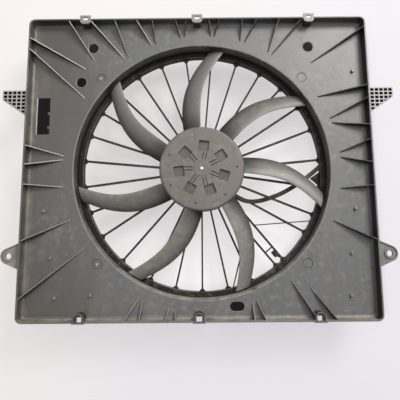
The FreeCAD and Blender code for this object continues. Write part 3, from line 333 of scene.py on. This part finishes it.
def gate_nub(angle, material):
    """Cut-off stub in a gate mark, with a hollow in its front face."""
    middle = gate_place(angle, plate_front + gate_recess - stub_height / 2)
    bpy.ops.mesh.primitive_cylinder_add(vertices=24, radius=stub_r, depth=stub_height, location=middle,
                                        rotation=faces_camera)
    nub = bpy.context.object
    nub.name = "gate_nub_%d" % (angle % 360)
    bpy.ops.object.transform_apply(location=True, rotation=True, scale=True)
    front = min(vertex.co.y for vertex in nub.data.vertices)
    bpy.ops.object.mode_set(mode="EDIT")
    bpy.ops.mesh.select_all(action="DESELECT")
    mesh = bmesh.from_edit_mesh(nub.data)
    for face in mesh.faces:
        face.select = abs(face.calc_center_median().y - front) < 1e-6
    bmesh.update_edit_mesh(nub.data)
    bpy.ops.mesh.inset(thickness=stub_rim)
    bpy.ops.transform.translate(value=(0, stub_hollow, 0))
    bpy.ops.object.mode_set(mode="OBJECT")
    round_over(nub, stub_round, 2)
    keep_on_shroud(nub, material)


def bead(name, place, ring_r, bead_r, steps, sides, material):
    """Thin round bead laid in a ring that faces the camera."""
    bpy.ops.mesh.primitive_torus_add(major_segments=steps, minor_segments=sides, major_radius=ring_r,
                                     minor_radius=bead_r, location=place, rotation=faces_camera)
    ring = bpy.context.object
    ring.name = name
    bpy.ops.object.transform_apply(location=True, rotation=True, scale=True)
    bpy.ops.object.shade_smooth()
    keep_on_shroud(ring, material)


stub_plastic = moulded("gate_stub", (0.36, 0.35, 0.34, 1.0), rub=0.8, edge=0.0002)
# A dark ring of painted shade round each gate recess.
painted_recess_shade = moulded("painted_recess_shade", (0.040, 0.038, 0.036, 1.0), dust=0.1, film=0.0, rub=0.0, rough=0.8,
                      specular=0.1)
for gate_angle in left_gates:
    gate_nub(gate_angle, stub_plastic)
for gate_angle in left_gates + right_gates:
    bead("painted_shade_line_%d" % (gate_angle % 360), gate_place(gate_angle, plate_front + gate_recess),
         shade_ring_r, shade_bead_r, 48, 8, painted_recess_shade)


# Rims of the round holes and of the wire slot. Each round hole in the plate has a raised bead round
# it, paler as a painted highlight, and the slot has a lip along its left side, pale as a painted
# highlight. Both are moulded with the plate.
round_hole_r = 0.010
round_holes = [(-0.2055, 0.4042), (-0.2274, 0.3341), (0.2186, 0.4032)]
hole_bead_gap = 0.0009
hole_bead_r = 0.0007
hole_bead_depth = 0.0002
slot_left = -0.3131
slot_bottom = 0.2299
slot_top = 0.3035
lip_width = 0.0016
lip_thickness = 0.0014
lip_depth = 0.0004
lip_round = 0.0004


def slot_lip(material):
    """Narrow rounded strip along the wire slot's left side."""
    middle = (slot_left + lip_width / 2, plate_front + lip_depth, (slot_bottom + slot_top) / 2)
    bpy.ops.mesh.primitive_cube_add(size=1.0, location=middle)
    lip = bpy.context.object
    lip.name = "slot_lip"
    lip.scale = (lip_width, lip_thickness, slot_top - slot_bottom)
    bpy.ops.object.transform_apply(location=True, rotation=True, scale=True)
    round_over(lip, lip_round, 3)
    keep_on_shroud(lip, material)


# The beads and the slot's lip are pale as a painted highlight.
bead_painted_highlight = moulded("hole_bead", (0.185, 0.180, 0.175, 1.0), dust=0.3, film=0.1, rub=0.0, rough=0.42)
for number, (hole_x, hole_z) in enumerate(round_holes, 1):
    bead("hole_bead_%d" % number, (hole_x, plate_front + hole_bead_depth, hole_z),
         round_hole_r + hole_bead_gap, hole_bead_r, 64, 10, bead_painted_highlight)
slot_lip(moulded("slot_lip", (0.40, 0.39, 0.375, 1.0), rub=0.3, film=0.1))


# Gusset ribs. Thin wedges of the same moulding run from the wall down to the plate. Their almost
# black colour is painted shade, but for their narrow front edges, which are rubbed pale and carry a
# painted highlight on the side that faces the light.
dress(moulded("gusset_ribs", (0.010, 0.009, 0.009, 1.0), dust=0.0, film=0.05, rub=0.8, rough=0.55,
              specular=0.2, edge=0.0010, edge_highlight=(0.480, 0.470, 0.460, 1.0)), "stiffening_ribs")


# Locating pegs. Small round-headed pins on the plate, moulded with it and polished by handling.
# They are a little paler and shinier than the plate.
dress(moulded("peg_plastic", (0.150, 0.145, 0.140, 1.0), dust=0.5, film=0.15, rub=0.9, rough=0.36,
              specular=0.6), "locating_pegs")


# Clip tabs. The three windowed tongues at the top rub against the radiator and have gone pale and
# shiny. The arched sockets at the bottom hold dust. Both carry painted shade behind their front faces.
dress(moulded("worn_tongues", (0.220, 0.212, 0.205, 1.0), dust=0.3, film=0.35, rub=0.8, rough=0.42,
              edge=0.0009, painted_depth_shade=((0.030, 0.028, 0.027, 1.0), -0.0075, -0.0055)), "upper_clip_tabs")
dress(moulded("dusty_sockets", (0.060, 0.056, 0.052, 1.0), dust=0.4, rub=1.0,
              edge=0.0009, painted_depth_shade=((0.025, 0.023, 0.021, 1.0), -0.0085, -0.0065)), "lower_clip_tabs")


# Bolt ears and lattice wings. Both are part of the same moulding: the ears take the bolts, and the
# open grids stop air slipping round the pan. The grids' front faces are rubbed pale and carry a
# painted highlight, and the cells between their bars are black with painted shade.
dress(moulded("ear_plastic", (0.160, 0.152, 0.142, 1.0), dust=0.7, film=0.5, rub=0.9, rough=0.46,
              edge=0.0008), "left_ear", "right_ear")
dress(moulded("grid_plastic", (0.110, 0.104, 0.102, 1.0), dust=0.3, film=0.1, rub=1.0,
              edge=0.0005, front_highlight_and_rub=0.9, painted_depth_shade=((0.005, 0.005, 0.005, 1.0), -0.0070, -0.0055)),
      "left_lattice_wing", "right_lattice_wing")


# Duct, step and rear ring. The round passage that the blade tips run in. It is the same plastic,
# with a near-black colour that is painted shade, darker still deeper in. Its upward faces are greyed
# by dust that also stands in for the light they catch, its mouth carries a painted highlight, and
# the step's and rear ring's pale edges are a painted highlight.
dress(moulded("duct_plastic", (0.022, 0.021, 0.020, 1.0), dust=0.75, film=0.10,
              specular=0.3, edge=0.0016, front_highlight_and_rub=0.40, painted_depth_shade=((0.008, 0.007, 0.007, 1.0), 0.018, 0.040)),
      "duct_ring")
# Painted shade for the step and rear ring, with pale edges that are a painted highlight.
dress(moulded("painted_shade_ring", (0.018, 0.016, 0.015, 1.0), dust=0.2, film=0.04, rub=0.9, rough=0.6,
              specular=0.15, edge=0.0010), "duct_step", "rear_ring")


# Arms behind the fan, with their stays, the clip block, the cable web and the ring that holds the
# motor. Thin deep bars of the shroud's plastic, whose almost black colour is painted shade.
dress(moulded("arm_plastic", (0.014, 0.013, 0.012, 1.0), dust=0.15, film=0.04, rub=0.15, rough=0.55,
              specular=0.2, edge=0.0004), "stator_struts", "strut_braces", "cable_clip", "cable_guide")
dress(moulded("ring_plastic", (0.060, 0.057, 0.054, 1.0), dust=0.4, film=0.15),
      "motor_ring", "connector_bracket")


# Motor housing and its rear cover. Die-cast aluminium, shot-blasted, with a grey oxide skin and a
# little dirt between the fins. Four small screws hold the cover and three hold the flange.
metal_edge_r = 0.0005
pit_depth = 0.0004


def metal(name, colour, rough, dirt=0.4, grain=0.15, pits=700.0, metallic=1.0):
    """Bare metal with a cast or rolled skin, stains and brighter rubbed edges."""
    material, surface = new_finish(name)
    place = object_place()
    patches = cloud(place, 45.0, detail=4.0, seed=3.3)
    skin = cloud(place, pits, detail=2.0, seed=1.9)
    rounded = edge_normal(metal_edge_r)
    body = tint(rise(patches, 0.35, 0.7) * dirt, colour, shade(colour, 0.45))
    body = tint(edge_share(rounded) * 0.6, body, shade(colour, 1.35))
    Wire.feed(surface.inputs["Base Color"], body)
    Wire.feed(surface.inputs["Roughness"], rough + (patches - 0.5) * 0.2)
    surface.inputs["Metallic"].default_value = metallic
    Wire.feed(surface.inputs["Normal"], bump(skin, grain, pit_depth, rounded))
    return material


dress(metal("cast_skin", (0.46, 0.46, 0.47, 1.0), 0.48, dirt=0.5, grain=0.35, metallic=0.9),
      "motor_housing", "rear_cover")
dress(metal("zinc_screw", (0.62, 0.61, 0.56, 1.0), 0.30, dirt=0.35, grain=0.05),
      "motor_screws", "cover_screws")


# Bearings, hub bush and shaft. Ground steel, bright where it is clean. The end of the shaft shows in
# the middle of the hub, dark round a small painted highlight at its centre.
centre_highlight_edge_r = (0.0016, 0.0024)


def shaft_steel():
    """Ground steel, dark but for a small painted highlight at the centre of its end."""
    material, surface = new_finish("shaft_steel")
    beyond_centre_highlight = rise(distance_from_axis(object_place(), fan_x, fan_z), *centre_highlight_edge_r)
    Wire.feed(surface.inputs["Base Color"], tint(beyond_centre_highlight, (0.72, 0.72, 0.72, 1.0), (0.16, 0.15, 0.14, 1.0)))
    Wire.feed(surface.inputs["Roughness"], 0.25 + beyond_centre_highlight * 0.3)
    surface.inputs["Metallic"].default_value = 0.8
    return material


dress(metal("ground_steel", (0.66, 0.66, 0.67, 1.0), 0.22, dirt=0.15, grain=0.03),
      "front_bearing", "rear_bearing", "hub_insert")
dress(shaft_steel(), "shaft")


# Inside the motor: a laminated stator with twelve enamelled coils, the steel rotor cup with its
# ferrite magnets, and the driver board with three tall capacitors.
# The rolled steel is dark, partly as painted shade for the rotor cup deep behind the hub's windows.
dress(metal("rolled_steel", (0.085, 0.074, 0.066, 1.0), 0.55, dirt=0.5, grain=0.08, metallic=0.3),
      "stator_core", "rotor_cup")
dress(metal("sintered_magnet", (0.075, 0.075, 0.078, 1.0), 0.55, dirt=0.3, metallic=0.3), "rotor_magnets")
dress(metal("enamelled_copper", (0.62, 0.28, 0.12, 1.0), 0.34, dirt=0.3, pits=1800.0, grain=0.4),
      "stator_windings")
dress(metal("drawn_cans", (0.60, 0.60, 0.62, 1.0), 0.25, dirt=0.2, grain=0.03), "capacitors")


def lacquered_board():
    """Green lacquered circuit board with paler copper lands showing through."""
    material, surface = new_finish("lacquered_board")
    lands = rise(cloud(object_place(), 260.0, detail=1.0, seed=5.1), 0.52, 0.55)
    body = tint(lands * 0.5, (0.012, 0.075, 0.035, 1.0), (0.030, 0.150, 0.065, 1.0))
    Wire.feed(surface.inputs["Base Color"], body)
    Wire.feed(surface.inputs["Roughness"], 0.28 + lands * 0.1)
    return material


dress(lacquered_board(), "circuit_board")


# Fan hub. A round cup of warm grey plastic with seven windows, each with two slots, and a rubbed
# rim. Fine pale dust lies in the grain of its flat face, and its side carries painted shade behind the
# rim.
dress(moulded("hub_plastic", (0.122, 0.107, 0.098, 1.0), dust=0.35, film=0.18, rub=0.8,
              specular=0.45, edge=0.0007, grain=0.14, painted_depth_shade=((0.016, 0.014, 0.013, 1.0), 0.0205, 0.0235)),
      "fan_hub")


# Blades. Seven swept and twisted airfoils of smooth satin plastic, greyer than the hub, with paler
# leading edges where grit has struck them. They carry painted shade at their roots and towards the back.
dress(moulded("blade_plastic", (0.135, 0.127, 0.116, 1.0), dust=0.15, film=0.12, rub=0.6, rough=0.48,
              specular=0.65, grain=0.05, painted_depth_shade=((0.022, 0.021, 0.019, 1.0), 0.024, 0.046),
              root_shade=((0.018, 0.017, 0.016, 1.0), 0.125)), "fan_blades")


# Motor cable. A round lead in a dark ribbed sleeve, 9 mm across. It leaves the motor through a
# rubber boot, crosses behind the arms and the duct, and ends in the plug behind the plate.
cable_r = 0.0045
cable_route = [(0.06687, 0.0745, 0.1195), (0.08305, 0.0745, 0.10775), (0.1022, 0.0735, 0.1019),
               (0.1222, 0.0718, 0.1028), (0.143, 0.0698, 0.1082), (0.167, 0.068, 0.117),
               (0.191, 0.0668, 0.130), (0.213, 0.0663, 0.1445), (0.235, 0.0663, 0.1615),
               (0.253, 0.066, 0.177), (0.268, 0.061, 0.194), (0.279, 0.0515, 0.213),
               (0.2855, 0.0405, 0.233), (0.2878, 0.031, 0.254), (0.288, 0.027, 0.273),
               (0.288, 0.027, 0.293)]


def route_curve(name, points):
    """Open curve whose control points are the cable's route."""
    line = bpy.data.curves.new(name, "CURVE")
    line.dimensions = "3D"
    spline = line.splines.new("NURBS")
    spline.points.add(len(points) - 1)
    for point, place in zip(spline.points, points):
        point.co = place + (1.0,)
    spline.order_u = 3
    spline.use_endpoint_u = True
    spline.resolution_u = 8
    made = bpy.data.objects.new(name, line)
    bpy.context.collection.objects.link(made)
    return made


def sleeve_rubber(name, colour, ribs):
    """Matte rubber or sleeve with a fine skin and dusty patches."""
    material, surface = new_finish(name)
    place = object_place()
    patches = cloud(place, 60.0, detail=3.0, seed=2.9)
    skin = cloud(place, ribs, detail=2.0, seed=0.8)
    body = tint(rise(patches, 0.42, 0.66) * 0.5, colour, (0.16, 0.15, 0.125, 1.0))
    Wire.feed(surface.inputs["Base Color"], body)
    Wire.feed(surface.inputs["Roughness"], 0.55 + (patches - 0.5) * 0.2)
    surface.inputs["Specular IOR Level"].default_value = 0.4
    Wire.feed(surface.inputs["Normal"],
              Wire.node("ShaderNodeBump", {}, {"Strength": 0.3, "Distance": 0.0005, "Height": skin}))
    return material


cable = route_curve("motor_lead", cable_route)
cable.data.bevel_depth = cable_r
cable.data.bevel_resolution = 6
cable.data.use_fill_caps = True
cable.data.materials.append(sleeve_rubber("lead_sleeve", (0.050, 0.050, 0.040, 1.0), 900.0))
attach(cable, "shroud")
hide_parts("motor_cable")

dress(sleeve_rubber("boot_rubber", (0.030, 0.030, 0.029, 1.0), 500.0), "cable_grommet")
dress(moulded("plug_plastic", (0.030, 0.030, 0.031, 1.0), dust=0.3, film=0.12, rough=0.42),
      "cable_connector")


# Floor. The part lies on its back on plain pale floor, as in the photograph, so the floor is the
# plane behind it. It takes shadows, but only the camera sees it, and only from the front, so light
# gets to the back. It carries painted light in the fan's opening, brighter to the lower right, and a
# black painted shadow under the pan, where it is shut in. Its tone is painted warmer and brighter at
# the upper left and cooler and darker at the lower right.
floor_y = 0.0945
floor_size = 8.0
floor_middle_z = 0.17
floor_warm_painted_light = (0.90, 0.862, 0.845, 1.0)
floor_cool_painted_shade = (0.80, 0.785, 0.825, 1.0)
opening_painted_dim = (0.72, 0.695, 0.705, 1.0)
opening_painted_light = (1.00, 0.965, 0.975, 1.0)
painted_shadow_black = (0.012, 0.011, 0.011, 1.0)
glow_share = 0.75

# Borders of the painted light in the opening and of the painted shadow under the pan, each from where it
# starts to where it is full
opening_z = 0.168
opening_edge_r = (0.26, 0.22)
pan_shadow_edge_r = (0.248, 0.262)
shadow_left = (-0.372, -0.350)
shadow_right = (0.385, 0.325)
shadow_bottom = (-0.1275, -0.1190)
shadow_top = (0.515, 0.450)


def floor_finish():
    """Pale floor, painted warm and lit at the upper left and cool and shaded at the lower right,
    with painted light in the fan's opening and a painted shadow under the pan.
    """
    material, surface = new_finish("pale_floor")
    surface.inputs["Roughness"].default_value = 0.7
    place = object_place()
    right, _, up = coordinates(place)
    from_fan = distance_from_axis(place, fan_x, opening_z)
    # Painted shadow: the floor under the pan is black, shut in by the shroud.
    under_pan = rise(right, *shadow_left) * rise(right, *shadow_right)
    under_pan = under_pan * rise(up, *shadow_bottom) * rise(up, *shadow_top)
    painted_pan_shadow = under_pan * rise(from_fan, *pan_shadow_edge_r)
    # Painted light: warmer and brighter at the upper left, cooler and darker at the lower right, and
    # brighter in the opening towards the lower right.
    open_floor = tint(rise(right - up * 0.5, -0.55, 0.25), floor_warm_painted_light, floor_cool_painted_shade)
    through = tint(rise(right * 0.7 - up, -0.30, 0.12), opening_painted_dim, opening_painted_light)
    floor_and_opening_light = tint(rise(from_fan, *opening_edge_r), open_floor, through)
    Wire.feed(surface.inputs["Base Color"], tint(painted_pan_shadow, open_floor, painted_shadow_black))
    glow_colour = tint(painted_pan_shadow, floor_and_opening_light, painted_shadow_black)
    glow = Wire.node("ShaderNodeEmission", {}, {"Color": glow_colour, "Strength": 1.0})
    lit = Wire.node("ShaderNodeMixShader", {}, {0: glow_share, 1: Wire(surface.outputs[0]), 2: glow})
    behind = Wire.node("ShaderNodeNewGeometry", output=6)
    seen = Wire.node("ShaderNodeLightPath", output=0) * (1 - behind)
    clear = Wire.node("ShaderNodeBsdfTransparent")
    shown = Wire.node("ShaderNodeMixShader", {}, {0: seen, 1: clear, 2: lit})
    Wire.feed(Wire.tree.nodes["Material Output"].inputs["Surface"], shown)
    return material


bpy.ops.mesh.primitive_plane_add(size=floor_size, location=(0, floor_y, floor_middle_z),
                                 rotation=faces_camera)
floor = bpy.context.object
floor.name = "floor"
bpy.ops.object.transform_apply(location=True, rotation=True, scale=True)
floor.data.materials.append(floor_finish())
bpy.ops.object.select_all(action="DESELECT")


# Studio light. A soft box at the upper right gives the plate its sheen there, a second one more in
# front keeps the shadows short, a wide weak one fills from the left, and one lights the back. The
# surroundings light the part dark grey from the lower left and paler from the upper right.


def soft_box(name, place, aim, size, power, colour):
    """Square lamp of this size and power, turned towards its aim."""
    lamp = bpy.data.lights.new(name, "AREA")
    lamp.shape = "SQUARE"
    lamp.size = size
    lamp.energy = power
    lamp.color = colour
    made = bpy.data.objects.new(name, lamp)
    bpy.context.collection.objects.link(made)
    made.location = place
    made.rotation_euler = (Vector(aim) - Vector(place)).to_track_quat("-Z", "Y").to_euler()


part_middle = (0.0, 0.03, 0.17)
soft_box("key_box", (1.15, -1.75, 1.48), part_middle, 0.9, 60.0, (1.0, 0.985, 0.96))
soft_box("front_box", (0.3, -2.3, 0.7), part_middle, 1.0, 15.0, (1.0, 0.99, 0.97))
soft_box("fill_box", (-0.9, -2.2, 0.6), part_middle, 1.6, 8.0, (0.97, 0.98, 1.0))
soft_box("back_box", (0.4, 1.9, 1.5), part_middle, 1.4, 16.0, (1.0, 1.0, 1.0))

surroundings_dark = (0.03, 0.03, 0.032, 1.0)
surroundings_pale = (0.40, 0.395, 0.39, 1.0)
background_colour = (0.90, 0.89, 0.885, 1.0)

world = bpy.data.worlds.new("studio")
bpy.context.scene.world = world
world.use_nodes = True
Wire.tree = world.node_tree
sky = world.node_tree.nodes["Background"]
right, away, up = coordinates(Wire.node("ShaderNodeTexCoord", output=0))
lift = rise(right * 0.5 - away * 0.35 + up * 0.6, -0.9, 1.0)
around = tint(lift, surroundings_dark, surroundings_pale)
ray = Wire.node("ShaderNodeLightPath")
seen_or_mirrored = ray + ray.out(3)
Wire.feed(sky.inputs["Color"], tint(rise(seen_or_mirrored, 0.4, 0.6), around, background_colour))
sky.inputs["Strength"].default_value = 1.0


# Camera, where the photograph was taken from: 0.75 m in front of the part and low, looking up a
# little. The picture's middle lies below the lens axis, which is the small vertical shift.
camera_place = (0.00625, -0.74091, 0.03750)
look_up_angle = 97.485
lean_angle = -0.467
aside_angle = 0.224
camera_data = bpy.data.cameras.new("view")
camera = bpy.data.objects.new("view", camera_data)
bpy.context.collection.objects.link(camera)
bpy.context.scene.camera = camera
camera_data.sensor_width = 36.0
camera_data.lens = 36.0
camera_data.shift_y = -0.04625
camera.location = camera_place
look_up = Matrix.Rotation(math.radians(look_up_angle), 3, "X")
lean = Matrix.Rotation(math.radians(lean_angle), 3, "Z")
aside = Matrix.Rotation(math.radians(aside_angle), 3, "Z")
camera.rotation_euler = (aside @ look_up @ lean).to_euler()

bpy.context.scene.view_settings.view_transform = "Standard"
